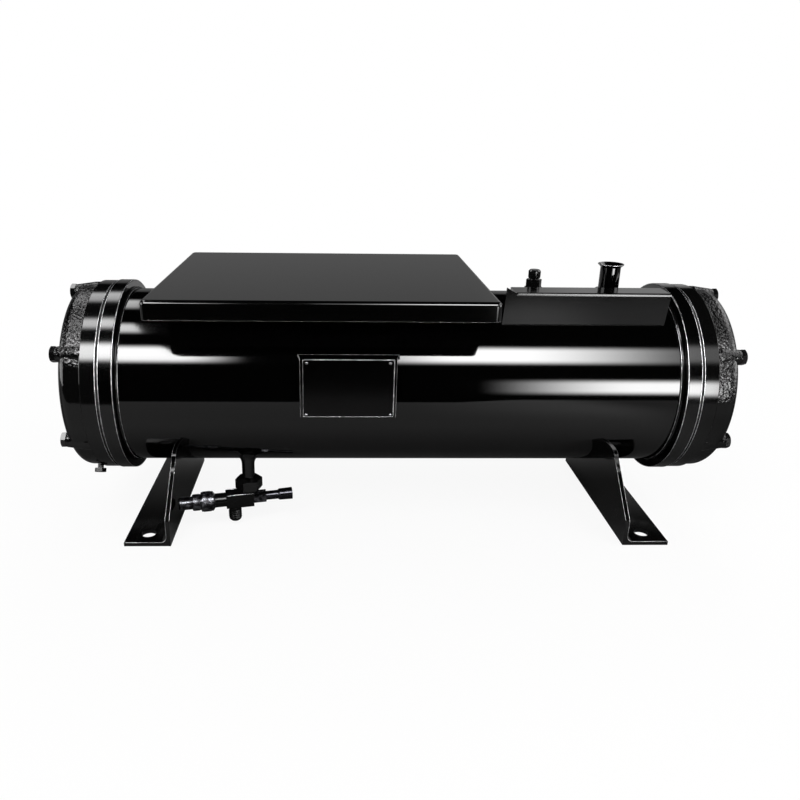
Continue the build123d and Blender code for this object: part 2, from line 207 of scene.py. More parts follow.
def copper(name):
    """Copper tube rolled into a steel sheet: a warm metal with brown tarnish in
    clouds of a few millimetres and a soft drawn sheen."""
    mat, tree = new_material(name)
    place = node(tree, "ShaderNodeTexCoord").outputs["Object"]
    clouds = node(tree, "ShaderNodeTexNoise", Vector=place, Scale=150.0, Detail=3.0)
    shade = node(tree, "ShaderNodeValToRGB", Fac=clouds)
    first, last = shade.color_ramp.elements
    first.color, last.color = colour("#7A4A33"), colour("#C98A66")
    dull = node(tree, "ShaderNodeMapRange", Value=clouds, To_Min=0.25, To_Max=0.45)
    shader = node(tree, "ShaderNodeBsdfPrincipled", Base_Color=shade, Metallic=1.0,
                  Roughness=dull)
    node(tree, "ShaderNodeOutputMaterial", Surface=shader)
    return mat


def fibre(name):
    """Compressed fibre gasket: a matt dark edge with short fibres of about half a
    millimetre, drawn at twice that."""
    mat, tree = new_material(name)
    place = node(tree, "ShaderNodeTexCoord").outputs["Object"]
    fibres = node(tree, "ShaderNodeTexNoise", Vector=place, Scale=900.0, Detail=3.0)
    bump = node(tree, "ShaderNodeBump", Strength=0.6, Distance=0.2 * MM, Height=fibres)
    dull = node(tree, "ShaderNodeMapRange", Value=fibres, To_Min=0.6, To_Max=0.9)
    shader = node(tree, "ShaderNodeBsdfPrincipled", Base_Color=colour("#0A0A0A"),
                  Roughness=dull, Normal=bump)
    node(tree, "ShaderNodeOutputMaterial", Surface=shader)
    return mat


# The big cylinder: the deepest black, and the sharpest reflections of all
SHELL_PAINT = enamel("gloss enamel on the shell", "#020202", 0.055, 6.0, 0.006)
# Turned flange rings: tool marks under the paint make the gloss softer
SHEET_PAINT = enamel("gloss enamel on turned steel", "#020202", 0.11, 5.0, 0.006)
# Feet, saddles and hood of folded plate: a soft gloss that greys towards a light
FOOT_PAINT = enamel("gloss enamel on folded plate", "#040404", 0.10, 5.0, 0.008, 0.45)
# The shelf bracket's thicker coat: a pale sheen on its level flange
SHELF_PAINT = enamel("thick gloss enamel on the shelf bracket", "#030303", 0.12, 5.0, 0.006,
                     0.45)
# The level tray, where wet paint flows out: wider, flatter waves and an even sheen
TRAY_PAINT = enamel("gloss enamel on the platform", "#030303", 0.09, 9.0, 0.006)
# Weld beads: lumpy paint with short, broken highlights
WELD_PAINT = enamel("enamel over weld beads", "#0A0A0A", 0.14, 3.0, 0.03)
# The valve's forging: a dull, grainy black
VALVE_PAINT = enamel("enamel on the valve forging", "#050505", 0.16, 3.0, 0.03, 0.2, 1.6, 0.05)
# Bolts, plug and nuts: small bright glints on each flat
FITTING_PAINT = enamel("enamel on turned fittings", "#0A0A0A", 0.12, 3.0, 0.02)
# The bare nameplate: a flat, quiet black with hardly any reflection
PLATE_FINISH = enamel("black anodised plate", "#020202", 0.13, 8.0, 0.004, 0.15)
# The gauge port's thread: paint lies thick in it and hardly shines
THREAD_PAINT = enamel("enamel in the port's thread", "#040404", 0.26, 3.0, 0.02, 0.15)
# Headers: a glitter of small highlights over the upper part of the casting
CAST_PAINT = cast_enamel("enamel on cast iron")
# Gland, cap and outlet nut: bare metal, bright grey with dark patches
BRIGHT_STEEL = turned_steel("turned steel of the valve", "#5E5E62", "#1A1A1C", 0.20, 1.6)
# Outlet tube and sleeve: dark metal under oil, with a narrow highlight
OILED_STEEL = turned_steel("oiled steel of the outlet", "#2C2C30", "#1C1C1F", 0.16, 1.6)
# Rivet heads: four pale dots on the nameplate
RIVET_METAL = turned_steel("aluminium of the rivets", "#8A8A8C", "#4C4C4E", 0.2, 1.2)
# Tube ends: a warm colour inside the water ports
TUBE_COPPER = copper("copper of the tube ends")
# Gaskets: a matt dark line; inside the tubes, a dark disc of painted shade for the depth of the
# bore
GASKET_FIBRE_AND_BORE_SHADE = fibre("gasket fibre and painted bore shade")
# Painted highlights along edges: thin lines of pale metal
EDGE_HIGHLIGHT_METAL = turned_steel("pale metal of painted edge highlights", "#C4C4C6", "#8C8C8E", 0.34, 2.0)

FINISH = {
    "shell": SHELL_PAINT, "left_tube_sheet": SHEET_PAINT, "right_tube_sheet": SHEET_PAINT,
    "left_gasket": GASKET_FIBRE_AND_BORE_SHADE, "right_gasket": GASKET_FIBRE_AND_BORE_SHADE,
    "left_header": CAST_PAINT, "right_header": CAST_PAINT, "drain_plug": FITTING_PAINT,
    "left_foot": FOOT_PAINT, "right_foot": FOOT_PAINT, "platform": TRAY_PAINT,
    "left_saddle": FOOT_PAINT, "right_saddle": FOOT_PAINT, "shelf_bracket": SHELF_PAINT,
    "nameplate_bracket": FOOT_PAINT, "nameplate": PLATE_FINISH,
    "inlet_collar": SHELL_PAINT, "inlet_stub": SHELL_PAINT, "service_boss": SHELL_PAINT,
    "service_fitting": FITTING_PAINT, "service_cap": FITTING_PAINT,
    "outlet_neck": SHELL_PAINT, "valve_union_nut": FITTING_PAINT, "valve_body": VALVE_PAINT,
    "valve_gland": BRIGHT_STEEL, "valve_spindle_cap": BRIGHT_STEEL,
    "valve_gauge_port": VALVE_PAINT, "outlet_nut": BRIGHT_STEEL,
    "outlet_tube": OILED_STEEL, "outlet_sleeve": OILED_STEEL,
}
for name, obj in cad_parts.items():
    if name in FINISH:
        for slot in obj.material_slots:
            slot.material = FINISH[name]


# ---------------------------------------------------------------------------
# Surfaces
# ---------------------------------------------------------------------------

def piece(name, points, faces, material, slot):
    """Make one mesh object from an array of points and a list of faces, shaded
    smooth apart from edges of more than 32 degrees."""
    mesh = bpy.data.meshes.new(name)
    mesh.from_pydata(np.asarray(points).reshape(-1, 3).tolist(), [], faces)
    mesh.update()
    mesh.polygons.foreach_set("use_smooth", [True] * len(mesh.polygons))
    mesh.materials.append(material)
    obj = bpy.data.objects.new(name, mesh)
    bpy.context.scene.collection.objects.link(obj)
    mesh.set_sharp_from_angle(angle=math.radians(32))
    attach(obj, "root")


def ring_faces(rings, around, closed, turned=False):
    """Faces over rings of points, each ring joined to the next one. The last is
    joined to the first where closed, and otherwise both get a flat face. Turned
    makes the faces look the other way."""
    r = np.arange(rings if closed else rings - 1)[:, None] * around
    c = np.arange(around)[None, :]
    r1, c1 = (r + around) % (rings * around), (c + 1) % around
    faces = np.stack([r1 + c, r1 + c1, r + c1, r + c], -1).reshape(-1, 4).tolist()
    if not closed:
        last = (rings - 1) * around
        faces += [list(range(around)), list(range(last, last + around))[::-1]]
    return [face[::-1] for face in faces] if turned else faces


def lathe_grid(outline, around):
    """An outline of (x, r) turned about the X axis: y = r sin t, z = r cos t.
    Either may also be an array over t, for what isn't round."""
    t = np.linspace(0, FULL_TURN, around, endpoint=False)
    return np.stack([np.stack([x + 0 * t, r * np.sin(t), r * np.cos(t)], -1)
                     for x, r in outline])


def moved(points, matrix):
    """Points carried by a 4 by 4 matrix."""
    m = np.array(matrix)
    return points @ m[:3, :3].T + m[:3, 3]


def copies(grid, places, closed):
    """Points and faces of one solid of rings, repeated at each of the places."""
    body = ring_faces(*grid.shape[:2], closed)
    size = grid.shape[0] * grid.shape[1]
    points = np.stack([moved(grid, place) for place in places])
    faces = [[i + start for i in face]
             for start in range(0, size * len(places), size) for face in body]
    return points, faces


def facing(side, x, y, z):
    """A place at (x, y, z) whose own X axis points to that side along X."""
    turn = Matrix.Identity(4) if side > 0 else Matrix.Rotation(math.pi, 4, "Z")
    return Matrix.Translation((x, y, z)) @ turn


def shell_z(y, sign):
    """Height of the shell's surface over or under its axis at y: the axis plus or
    minus the root of the radius squared less y squared."""
    return AXIS_Z + sign * np.sqrt(SHELL_R**2 - np.asarray(y) ** 2)


def shell_ring(x, turn, radius=SHELL_R, up=1):
    """A ring or an arc round the shell's axis at x, by turn from the top, or from
    the bottom with up = -1: y = radius sin turn, z = axis + up radius cos turn.
    Gives its points and the directions that point outwards there."""
    out = np.stack([0 * turn, np.sin(turn), up * np.cos(turn)], -1)
    return out * radius + np.array([x, 0, AXIS_Z]), out


def straight(a, b, count):
    """Points at even steps from a to b."""
    return np.asarray(a) + (np.asarray(b) - np.asarray(a)) * np.linspace(0, 1, count)[:, None]


def rounded_border(u0, u1, v0, v1, r, count):
    """A path round a rectangle, as two rows of coordinates, its corners quarter
    circles of radius r with that count of points."""
    corners = ((u1 - r, v1 - r), (u0 + r, v1 - r), (u0 + r, v0 + r), (u1 - r, v0 + r))
    runs = []
    for k, (u, v) in enumerate(corners):
        a = np.linspace(0, QUARTER_TURN, count) + k * QUARTER_TURN
        runs.append([u + r * np.cos(a), v + r * np.sin(a)])
    return np.concatenate(runs, axis=1)


def bead(name, path, normal, radius, closed, material, slot, pitch=1.0, ripple=0.0):
    """A round bead: a circle of points carried along the path, square to it. Its
    radius waves by the share ripple once every pitch, and by 0.4 of that once
    every 3.7 pitches. The ends of an open bead narrow to 0.4 of the radius."""
    path = np.asarray(path, float)
    normal = np.broadcast_to(np.asarray(normal, float), path.shape)
    ahead = np.roll(path, -1, 0) - np.roll(path, 1, 0)
    if not closed:
        ahead[0], ahead[-1] = path[1] - path[0], path[-1] - path[-2]
    ahead /= np.linalg.norm(ahead, axis=1, keepdims=True)
    side = np.cross(ahead, normal)
    side /= np.linalg.norm(side, axis=1, keepdims=True)
    lift = np.cross(side, ahead)
    run = np.concatenate([[0], np.cumsum(np.linalg.norm(np.diff(path, axis=0), axis=1))])
    phase = FULL_TURN * run / pitch
    wave = radius * (1 + ripple * (np.cos(phase) + 0.4 * np.sin(phase / 3.7)))
    if not closed:
        wave[[0, -1]] *= 0.4
    t = np.linspace(0, FULL_TURN, 10, endpoint=False)
    ring = side[:, None] * np.cos(t)[:, None] + lift[:, None] * np.sin(t)[:, None]
    points = path[:, None] + wave[:, None, None] * ring
    piece(name, points, ring_faces(len(path), len(t), closed), material, slot)


def weld(name, path, normal, size, pitch, closed, ripple=0.05):
    """A weld bead, its radius and pitch in millimetres: it ripples because each
    pool of metal sets over the last."""
    bead(name, path, normal, size * MM, closed, WELD_PAINT, "shell_paint", pitch * MM, ripple)


def highlight_bead(name, path, normal, size, closed):
    """A thin even bead of pale metal, its radius in millimetres, along an edge: a painted
    highlight line. It is drawn wider than the real edge, so that it shows."""
    bead(name, path, normal, size * MM, closed, EDGE_HIGHLIGHT_METAL, "bright_metal")


# ---------------------------------------------------------------------------
# Fasteners, welds and painted edge highlights
# ---------------------------------------------------------------------------

def hex_bolt(flats, height, radius, length):
    """A hexagon head bolt along X, its seat at x = 0: the head's radius at angle
    t is half the flats over the cosine of the angle from the nearest flat, and
    the top corners fall away at 30 degrees outside the circle of the flats. The
    shank is narrower where it is threaded into the tube sheet."""
    around = 36
    t = np.linspace(0, FULL_TURN, around, endpoint=False)
    away = (t + math.pi / 6) % (math.pi / 3) - math.pi / 6
    half = flats / 2
    hexagon = half / np.cos(away)
    fall = (hexagon - half * 0.96) * math.tan(math.radians(30))
    core, washer, washer_height, dish = radius * 0.84, half * 0.96, 0.5 * MM, 0.35 * MM
    return lathe_grid([
        (-length, core), (-SEAT_TO_SHEET, core), (-SEAT_TO_SHEET, radius), (0, radius),
        (0, washer), (washer_height, washer), (washer_height, hexagon * 0.995),
        (height - fall, hexagon), (height, half * 0.93), (height, half * 0.72),
        (height - dish, half * 0.66),
    ], around)


def header_bolts():
    """Six M10 bolts on the bolt circle of each header, the first at the top, each
    left at another turn."""
    grid = hex_bolt(17 * MM, 6.4 * MM, 5 * MM, SEAT_TO_SHEET + 11 * MM)
    for name, side in SIDES:
        places = []
        for i in range(6):
            a = math.pi / 3 * i
            spin = Matrix.Rotation(math.radians(11 * i + 37), 4, "X")
            y, z = BOLT_CIRCLE * math.sin(a), AXIS_Z + BOLT_CIRCLE * math.cos(a)
            places.append(facing(side, side * BOSS_END, y, z) @ spin)
        piece(name + "_header_bolts", *copies(grid, places, False), FITTING_PAINT,
              "fitting_paint")


def welds():
    """Fillet welds where steel pieces meet the shell, and where the platform
    meets its saddles."""
    t = np.linspace(0, FULL_TURN, 480, endpoint=False)
    for name, side in SIDES:
        ring, out = shell_ring(side * (SHEET_INNER - 1.4 * MM), t, SHELL_R + 0.6 * MM)
        weld(name + "_sheet_weld", ring, out, 1.7, 4, True, 0.02)
    under = np.linspace(-0.58, 0.58, 110)
    for name, side in SIDES:
        low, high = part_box(name + "_foot")
        inner = high[0] if side < 0 else low[0]
        for tag, x in (("inner", inner), ("outer", inner + side * FOOT_SHEET)):
            arc, out = shell_ring(x, under, up=-1)
            weld(f"{name}_foot_weld_{tag}", arc, out, 1.6, 5, False)
    over = np.linspace(-0.5, 0.5, 100)
    saddle_width = 104 * MM
    for name, _ in SIDES:
        low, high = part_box(name + "_saddle")
        for tag, x in (("a", low[0]), ("b", high[0])):
            arc, out = shell_ring(x, over)
            weld(f"{name}_saddle_weld_{tag}", arc, out, 2, 5, False)
            line = np.stack([x + 0 * over, saddle_width * over, high[2] + 0 * over], -1)
            weld(f"{name}_platform_weld_{tag}", line, (0, 0, 1), 1.8, 5, False)
    low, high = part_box("shelf_bracket")
    x = np.linspace(low[0] + 2 * MM, high[0] - 5 * MM, 120)
    for tag, web_face in (("front", -68 * MM), ("back", -65 * MM)):
        y = web_face + 0 * x
        line = np.stack([x, y, shell_z(y, 1)], -1)
        weld("shelf_bracket_weld_" + tag, line, (0, 0, 1), 0.8, 4, False)
    for name, x, r, size in (("inlet_weld", INLET_X, 18.3 * MM, 2.2),
                             ("service_weld", SERVICE_X, 11 * MM, 1.7)):
        y = r * np.sin(t)
        ring = np.stack([x + r * np.cos(t), y, shell_z(y, 1) + 0.4 * MM], -1)
        weld(name, ring, (0, 0, 1), size, 4, True)


def neck_flare():
    """The weld where the outlet neck leaves the shell: its radius grows from the
    neck's to the toe as a quarter circle, and its upper edge follows the shell."""
    x0, y0 = VALVE_ORIGIN[:2]
    rings, around = 12, 72
    t = np.linspace(0, FULL_TURN, around, endpoint=False)
    u = np.linspace(0, 1, rings)[:, None]
    neck, toe, drop, sunk = 8.1 * MM, 14.5 * MM, 9.0 * MM, 0.6 * MM
    r = neck + (toe - neck) * (1 - np.sqrt(1 - u**2)) * (1 + 0.04 * np.cos(9 * t))
    x = x0 + r * np.cos(t)
    y = y0 + r * np.sin(t)
    points = np.stack([x, y, shell_z(y, -1) - drop * (1 - u) + sunk * u], -1)
    piece("outlet_neck_weld", points, ring_faces(rings, around, False, True), WELD_PAINT,
          "shell_paint")


def rivets():
    """Four dome headed rivets at the corners of the nameplate, each a quarter
    circle outline turned about Y."""
    low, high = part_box("nameplate")
    u = np.linspace(0, QUARTER_TURN * 0.97, 8)
    head, dome, sunk = 2.0 * MM, 1.2 * MM, 0.4 * MM
    outline = [(-sunk, head), *zip(0.1 * MM + dome * np.sin(u), head * np.cos(u))]
    toward = Matrix.Rotation(-QUARTER_TURN, 4, "Z")
    places = [Matrix.Translation((x, low[1], z)) @ toward
              for z, inset in ((low[2] + 2.4 * MM, 3.6 * MM), (high[2] - 4.0 * MM, 4.8 * MM))
              for x in (low[0] + inset, high[0] - inset)]
    piece("nameplate_rivets", *copies(lathe_grid(outline, 20), places, False), RIVET_METAL,
          "bright_metal")


def plate_rim():
    """The nameplate's edges as painted highlight lines of pale metal: a hair line round its
    face, a little inside the border, and a wider line along its top and down its right side."""
    low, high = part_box("nameplate")
    y, inset, corner = low[1] - 0.1 * MM, 0.4 * MM, 1.1 * MM
    x, z = rounded_border(low[0] + inset, high[0] - inset, low[2] + inset, high[2] - inset,
                          corner, 10)
    highlight_bead("nameplate_rim", np.stack([x, y + 0 * x, z], -1), (0, -1, 0), 0.16, True)
    start, end = (low[0] + 2 * MM, y, high[2]), (high[0], y, low[2] + 2 * MM)
    elbow = (high[0], y, high[2])
    edge = np.concatenate([straight(start, elbow, 40), straight(elbow, end, 30)[1:]])
    highlight_bead("nameplate_edge_highlight", edge, (0.1, -1, 0.1), 0.42, False)


def ring_highlight_lines():
    """Painted highlight lines of pale metal on turned edges: hair lines round the joint between
    tube sheet and header, the sheet's own edges and the weld's toe."""
    t = np.linspace(0, FULL_TURN, 360, endpoint=False)
    lines = (("inner", SHEET_INNER + 0.5 * MM, 120.0 * MM),
             ("outer", SHEET_OUTER - 0.9 * MM, 120.2 * MM),
             ("band", HEADER_FACE + 1.0 * MM, 119.2 * MM),
             ("weld", SHEET_INNER - 3.1 * MM, SHELL_R + 0.1 * MM))
    for name, side in SIDES:
        for tag, x, r in lines:
            ring, out = shell_ring(side * x, t, r)
            highlight_bead(f"{name}_edge_{tag}", ring, out, 0.42, True)


def sheet_edges():
    """Painted highlights: thin lines of pale metal along edges, round the foot of the
    platform's skirt, round the outline of the nameplate's hood, up its legs, out along its
    sides and across its back, and round the mouth of the inlet stub."""
    low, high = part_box("platform")
    inset, corner = 0.2 * MM, 6.3 * MM
    x, y = rounded_border(low[0] + inset, high[0] - inset, low[1] + inset, high[1] - inset,
                          corner, 12)
    highlight_bead("platform_hem", np.stack([x, y, low[2] + inset + 0 * x], -1), (0, 0, 1), 0.21, True)

    low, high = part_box("nameplate_bracket")
    taper, depth = 3.0 * MM, 14.5 * MM
    left, right, front, back = low[0] + taper, high[0] - taper, low[1], low[1] + depth
    foot, top = low[2] + 0.5 * MM, high[2]
    corners = [(left, front, foot), (left, front, top), (low[0], back, top),
               (high[0], back, top), (right, front, top), (right, front, foot)]
    runs = [straight(a, b, 24)[:-1] for a, b in zip(corners, corners[1:])]
    highlight_bead("nameplate_bracket_edge", np.concatenate([*runs, corners[-1:]]),
           (0.05, -0.8, 0.6), 0.14, False)

    low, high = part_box("inlet_stub")
    t = np.linspace(0, FULL_TURN, 96, endpoint=False)
    around = np.stack([np.cos(t), np.sin(t), 0 * t], -1)
    middle = np.array([(low[0] + high[0]) / 2, 0, high[2] - 0.5 * MM])
    radius = (high[0] - low[0]) / 2 - 0.1 * MM
    highlight_bead("inlet_stub_rim", around * radius + middle, around, 0.35, True)


def foot_edges():
    """Painted highlight lines of pale metal along both arrises of each foot's sloping edges,
    and the line that runs on from the outer one down the leg, round the bend as a quarter
    circle and out along the flange."""
    bend, half, leg, top = 7.5 * MM, 124.5 * MM, 34 * MM, 62 * MM
    contact = float(shell_z(top, -1))
    q = np.linspace(0, QUARTER_TURN, 14)[1:]
    for name, side in SIDES:
        low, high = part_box(name + "_foot")
        face, end = (high[0], low[0]) if side < 0 else (low[0], high[0])
        outer = face + side * FOOT_SHEET
        centre = outer + side * bend
        for tag, s in (("front", -1), ("back", 1)):
            y = s * half
            slope = straight((outer, s * top, contact), (outer, y, leg), 24)
            down = straight((outer, y, leg), (outer, y, FOOT_SHEET + bend), 8)[1:]
            curve = np.stack([centre - side * bend * np.cos(q), y + 0 * q,
                              FOOT_SHEET + bend - bend * np.sin(q)], -1)
            out = straight((centre, y, FOOT_SHEET), (end, y, FOOT_SHEET), 16)[1:]
            highlight_bead(f"{name}_foot_edge_{tag}", np.concatenate([slope, down, curve, out]),
                   (side, s, 0.2), 0.22, False)
            inner = straight((face, s * top, contact), (face, y, leg), 24)
            highlight_bead(f"{name}_foot_arris_{tag}", inner, (-side, s, 0.2), 0.18, False)


def valve_edges():
    """Painted highlight lines of pale metal along the top arrises of the valve's forged block.
    """
    half, back, front = 9.2 * MM, -29.5 * MM, 4.5 * MM
    for tag, s in (("front", -1), ("back", 1)):
        line = straight((back, s * half, half), (front, s * half, half), 20)
        highlight_bead("valve_body_arris_" + tag, moved(line, VALVE), (0, s, 1), 0.5, False)


# ---------------------------------------------------------------------------
# Tubes, threads and knurls
# ---------------------------------------------------------------------------

def tube_bundle():
    """Copper tube ends standing out of the left tube sheet, on a triangular pitch, apart from
    the row where the header's partition seals. Each is a ring with a rounded lip, and its bore
    is a thin dark disc of painted shade, standing in for the dark depth of the tube."""
    pitch, field, seal = 17.5 * MM, 78.5 * MM, 9 * MM
    r, wall, out, sunk = 6.35 * MM, 0.9 * MM, 2.0 * MM, 1 * MM
    lip, bore = out - 0.2 * MM, r - wall
    places = []
    for row in range(-5, 6):
        z = row * pitch * 0.866
        shift = pitch / 2 if row % 2 else 0.0
        for column in range(-5, 6):
            y = column * pitch + shift
            if abs(z) > seal and math.hypot(y, z) < field:
                places.append(facing(-1, -SHEET_OUTER, y, AXIS_Z + z))
    tube = lathe_grid([(-sunk, r), (lip, r), (out, r - wall / 2), (lip, bore), (-sunk, bore)],
                      20)
    piece("tube_ends", *copies(tube, places, True), TUBE_COPPER, "bright_metal")
    # Painted shade: a matt dark disc closes each bore in place of the dark depth of the tube
    disc = lathe_grid([(-sunk, bore + 0.05 * MM), (0.15 * MM, bore + 0.05 * MM)], 20)
    piece("tube_bores", *copies(disc, places, False), GASKET_FIBRE_AND_BORE_SHADE, "gasket")


def helical_thread(name, place, root, crest, length, pitch, around, material, slot):
    """A thread as one grid: along X the radius goes from root to crest and back
    once a pitch, later by one pitch for a full turn, and fades out at both ends.
    In a bore the crest is the smaller one, and a wall behind it closes the mesh."""
    inside = crest < root
    rings = int(length / pitch * 8) + 1
    s = np.linspace(0, length, rings)[:, None]
    t = np.linspace(0, FULL_TURN, around, endpoint=False)
    phase = (s / pitch - t / FULL_TURN) % 1.0
    tooth = 1 - np.abs(2 * phase - 1)
    fade = np.clip(np.minimum(s, length - s) / (0.6 * pitch), 0, 1)
    r = root + (crest - root) * tooth * fade
    if inside:
        s = np.concatenate([s, [[length], [0.0]]])
        r = np.concatenate([r, np.full((2, around), root + 0.3 * MM)])
    grid = np.stack([s + 0 * t, r * np.sin(t), r * np.cos(t)], -1)
    piece(name, moved(grid, place), ring_faces(len(s), around, inside, inside), material, slot)


def port_threads():
    """The threads in the two water ports, of 11 turns an inch, and the one on the
    valve's gauge port, about twice as coarse as a real one so that it shows."""
    for tag, z in (("upper", PORT_Z), ("lower", -PORT_Z)):
        place = facing(-1, -(HEADER_END - 9 * MM), 0, AXIS_Z + z)
        helical_thread("port_thread_" + tag, place, PORT_R + 0.05 * MM, PORT_R - 1.2 * MM,
                       12.6 * MM, 2.31 * MM, 72, CAST_PAINT, "header_paint")
    place = VALVE @ Matrix.Translation((-19 * MM, 0, -14 * MM))
    place = place @ Matrix.Rotation(QUARTER_TURN, 4, "Y")
    helical_thread("gauge_port_thread", place, 7.6 * MM, 8.5 * MM, 13.5 * MM, 3.2 * MM, 48,
                   THREAD_PAINT, "valve_paint")


def knurled(name, x0, x1, radius, depth, count):
    """A knurled sleeve of the valve: two families of crossed grooves cut the
    radius, one as the cosine of turn plus slide, the other of turn less slide."""
    rings, around = 18, count * 4
    s = np.linspace(0, 1, rings)[:, None]
    t = np.linspace(0, FULL_TURN, around, endpoint=False)
    slide = s * (x1 - x0) / radius
    grooves = (t + slide, t - slide)
    cut = 0.5 * sum(np.abs(np.cos(count / 2 * groove)) for groove in grooves)
    edge = np.clip(np.minimum(s, 1 - s) / 0.08, 0, 1)
    r = radius + depth * cut * edge
    grid = np.stack([x0 + (x1 - x0) * s + 0 * t, r * np.sin(t), r * np.cos(t)], -1)
    piece(name, moved(grid, VALVE), ring_faces(rings, around, False), BRIGHT_STEEL,
          "bright_metal")


header_bolts()
welds()
neck_flare()
rivets()
plate_rim()
ring_highlight_lines()
sheet_edges()
foot_edges()
valve_edges()
tube_bundle()
port_threads()
knurled("gland_knurl", -59.5 * MM, -48.5 * MM, 12.4 * MM, 0.7 * MM, 30)
knurled("gland_nut_knurl", -71.5 * MM, -63 * MM, 10.1 * MM, 0.6 * MM, 26)


# ---------------------------------------------------------------------------
# Studio
# ---------------------------------------------------------------------------

def stage_mesh(name, points, material, faces=None, glossy_only=True):
    """A stage surface, of one flat face where no faces are given. A glossy only
    one is seen in reflections and nowhere else."""
    mesh = bpy.data.meshes.new(name)
    points = np.asarray(points).reshape(-1, 3)
    mesh.from_pydata(points.tolist(), [], faces or [list(range(len(points)))])
    mesh.update()
    mesh.materials.append(material)
    obj = bpy.data.objects.new(name, mesh)
    bpy.context.scene.collection.objects.link(obj)
    if glossy_only:
        obj.visible_camera = False
        obj.visible_diffuse = False
        obj.visible_transmission = False
        obj.visible_volume_scatter = False
        obj.visible_shadow = False


def glow(name, strength, low, high, soft, across=None, slant=0.0, least=0.0):
    """Light from a panel, by elevation over the shell's axis: full between low
    and high degrees, falling off over soft degrees. Across gives the same along
    X as (left edge, left fall, right edge, right fall), its edges leaning by
    slant metres a radian, and least is what is left outside them."""
    mat, tree = new_material(name)
    place = node(tree, "ShaderNodeTexCoord").outputs["Object"]
    xyz = node(tree, "ShaderNodeSeparateXYZ", Vector=place)
    up = node(tree, "ShaderNodeMath", {"operation": "SUBTRACT"}, i0=xyz.outputs["Z"], i1=AXIS_Z)
    front = node(tree, "ShaderNodeMath", TIMES, i0=xyz.outputs["Y"], i1=-1.0)
    angle = node(tree, "ShaderNodeMath", {"operation": "ARCTAN2"}, i0=up, i1=front)
    over_low = node(tree, "ShaderNodeMapRange", SMOOTH, Value=angle,
                    From_Min=math.radians(low - soft), From_Max=math.radians(low))
    under_high = node(tree, "ShaderNodeMapRange", SMOOTH, Value=angle,
                      From_Min=math.radians(high + soft), From_Max=math.radians(high))
    level = node(tree, "ShaderNodeMath", TIMES, i0=over_low, i1=under_high)
    if across:
        left, left_fall, right, right_fall = across
        along = node(tree, "ShaderNodeMath", TIMES_PLUS, i0=angle, i1=slant,
                     i2=xyz.outputs["X"])
        from_left = node(tree, "ShaderNodeMapRange", SMOOTH, Value=along,
                         From_Min=left - left_fall, From_Max=left, To_Min=least)
        from_right = node(tree, "ShaderNodeMapRange", SMOOTH, Value=along,
                          From_Min=right + right_fall, From_Max=right, To_Min=least)
        between = node(tree, "ShaderNodeMath", TIMES, i0=from_left, i1=from_right)
        level = node(tree, "ShaderNodeMath", TIMES, i0=level, i1=between)
    power = node(tree, "ShaderNodeMath", TIMES, i0=level, i1=strength)
    light = node(tree, "ShaderNodeEmission", Color=(1, 1, 1, 1), Strength=power)
    node(tree, "ShaderNodeOutputMaterial", Surface=light)
    return mat


def vault(name, radius, low, high, x0, x1, material):
    """Part of a round vault about the shell's axis, from low to high degrees of
    elevation: y = -radius cos a, z = axis + radius sin a."""
    rows = 24
    a = np.radians(np.linspace(low, high, rows))[:, None]
    x = np.linspace(x0, x1, 2)
    points = np.stack([x + 0 * a, -radius * np.cos(a) + 0 * x,
                       AXIS_Z + radius * np.sin(a) + 0 * x], -1)
    faces = 2 * np.arange(rows - 1)[:, None] + np.array([0, 1, 3, 2])
    stage_mesh(name, points, material, faces.tolist())


def studio():
    """A dark studio round the object, with soft light panels. All of it is seen in
    reflections only, as with black flags round a glossy product. The floor's flag
    lies just over the floor and hides the front of it from the paint."""
    dark = glow("black flag", 0.0, -90, 270, 1)
    vault("flag_vault", 2.4, -4.4, 184.4, -6, 6, dark)
    near, far_right, lift = -0.655, -0.84, 0.6 * MM
    outline = ((-6, -3), (6, -3), (6, far_right), (0.34, far_right), (0.16, near), (-6, near))
    stage_mesh("flag_floor", [(x, y, lift) for x, y in outline], dark)
    for name, x in (("left", -4.0), ("right", 4.0)):
        wall = [(x, -2.3, 0.02), (x, 0.6, 0.02), (x, 0.6, 2.0), (x, -2.3, 2.0)]
        stage_mesh("panel_side_" + name, wall,
                   glow("light of the side panel " + name, 6.0, -90, 270, 1))
    # The main panel gives the long highlight on the shell. Its left half has a
    # leaning right edge above and a soft one below the height where they meet.
    main = (37.5, 47.8, 8.2)
    meet = 39.8
    vault("panel_main_left", 2.0, meet, 62, -3.2, -0.2,
          glow("light of the main panel, left", 36, *main, (-1.2, 0.25, -0.484, 0.008), 0.254))
    vault("panel_main_left_foot", 2.0, 24, meet, -3.2, -0.2,
          glow("light of the main panel, foot", 34, *main, (-1.35, 0.25, -0.67, 0.27)))
    vault("panel_main_right", 2.0, 24, 62, -0.15, 2.6,
          glow("light of the main panel, right", 37, *main, (0.4, 0.48, 0.56, 0.72), 0.0, 0.09))
    # The low panel is level with the shell, and is seen low on its right half
    vault("panel_low", 1.0, -9, 17, 0.1, 1.6,
          glow("light of the low panel", 34, -0.4, 6.6, 7.6, (0.655, 0.4, 0.80, 0.10)))
    # The upper and back panels are seen higher on the shell's left half
    vault("panel_upper_left", 2.1, 66, 92, -3.2, -0.2,
          glow("light of the upper panel", 20, 76, 80, 8, (-1.25, 0.25, -0.682, 0.01), 0.115))
    vault("panel_back_left", 2.1, 106, 136, -3.2, -0.2,
          glow("light of the back panel", 7, 116, 124, 9, (-1.4, 0.25, -0.845, 0.02)))
    # The far panel is seen in what faces right, and the back wall in level sheets
    vault("panel_far_right", 2.2, 55, 150, 1.7, 4.0,
          glow("light of the far panel", 3.5, 66, 140, 8, (1.9, 0.2, 3.8, 0.1)))
    vault("panel_back", 2.3, 150, 179, -4, 4,
          glow("light of the back wall", 0.5, 160, 176, 7, (1.0, 0.5, 3.5, 0.1), 0.0, 0.42))


